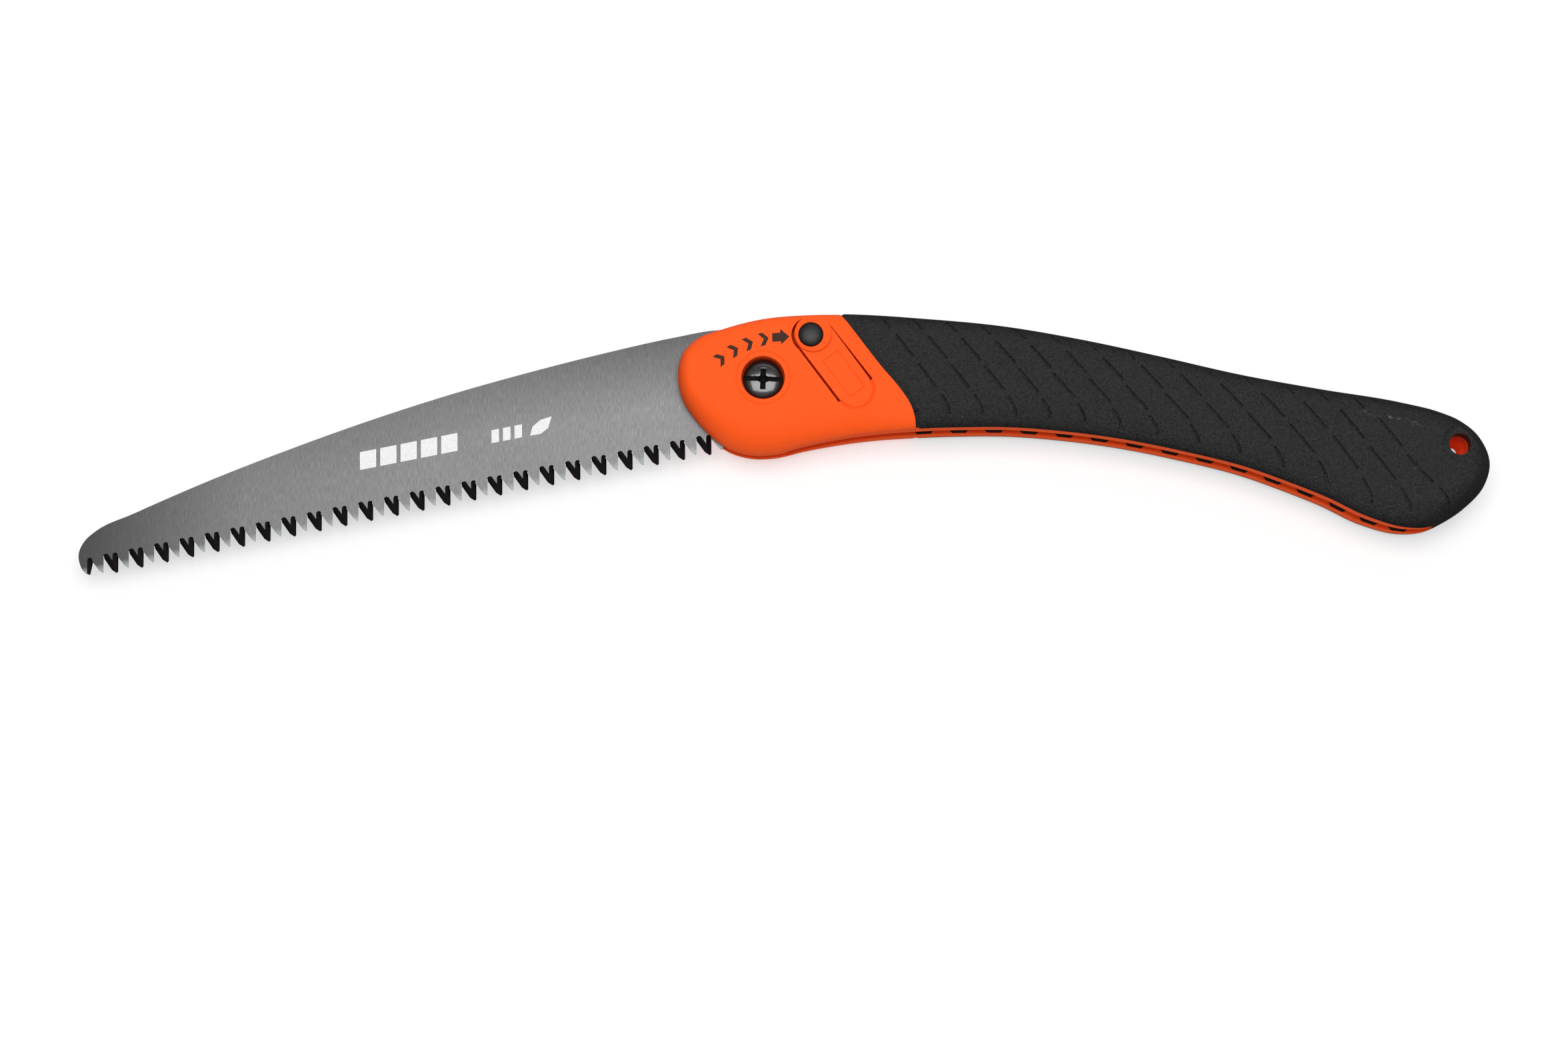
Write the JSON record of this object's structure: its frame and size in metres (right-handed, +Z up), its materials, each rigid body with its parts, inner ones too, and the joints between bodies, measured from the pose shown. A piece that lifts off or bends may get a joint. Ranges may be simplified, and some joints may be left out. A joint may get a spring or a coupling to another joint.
{
  "type": "folding pruning saw",
  "caption": "Folding pruning saw, blade open: coarse-toothed pull blade on a pivot, slotted plastic handle with rubber sides and a push-button blade lock.",
  "frame": {"origin": "centre of the open saw's bounding box in plan, at the surface it lies on", "axes": "+X along the open saw towards the handle's butt, +Y towards the spine side, +Z up out of the side with the lock button"},
  "size_m": [0.4082, 0.0758, 0.0233],
  "materials": {
    "body_plastic": "fine matt orange moulding",
    "grip_rubber": "matt fine-grained charcoal",
    "blade_steel": "satin, grinding lines across the blade",
    "screw_black": "glossy black",
    "button_black": "satin black",
    "zinc_steel": "zinc plated",
    "white_nylon": "natural nylon"
  },
  "bodies": {
    "handle": {"front_shell": "body_plastic", "rear_shell": "body_plastic", "front_grip": "grip_rubber", "rear_grip": "grip_rubber", "pivot_screw": "screw_black", "pivot_nut": "screw_black", "screw_washer": "zinc_steel", "nut_washer": "zinc_steel", "front_thrust_washer": "white_nylon", "rear_thrust_washer": "white_nylon"},
    "blade": {"blade": "blade_steel"},
    "lock_arm": {"press_tongue": "body_plastic", "lock_button": "button_black", "lock_pin": "zinc_steel"}
  },
  "joints": [
    {"name": "blade_fold", "type": "hinge", "parent": "handle", "child": "blade", "pos_m": [-0.00634, 0.01808, 0.011], "axis": [0, 0, 1], "range_deg": [0, 156]},
    {"name": "lock_press", "type": "hinge", "parent": "handle", "child": "lock_arm", "pos_m": [0.02026, 0.01443, 0.0203], "axis": [-0.803, -0.596, 0], "range_deg": [0, 5], "stiffness_Nm_per_rad": 2, "springref_deg": -1.15}
  ]
}
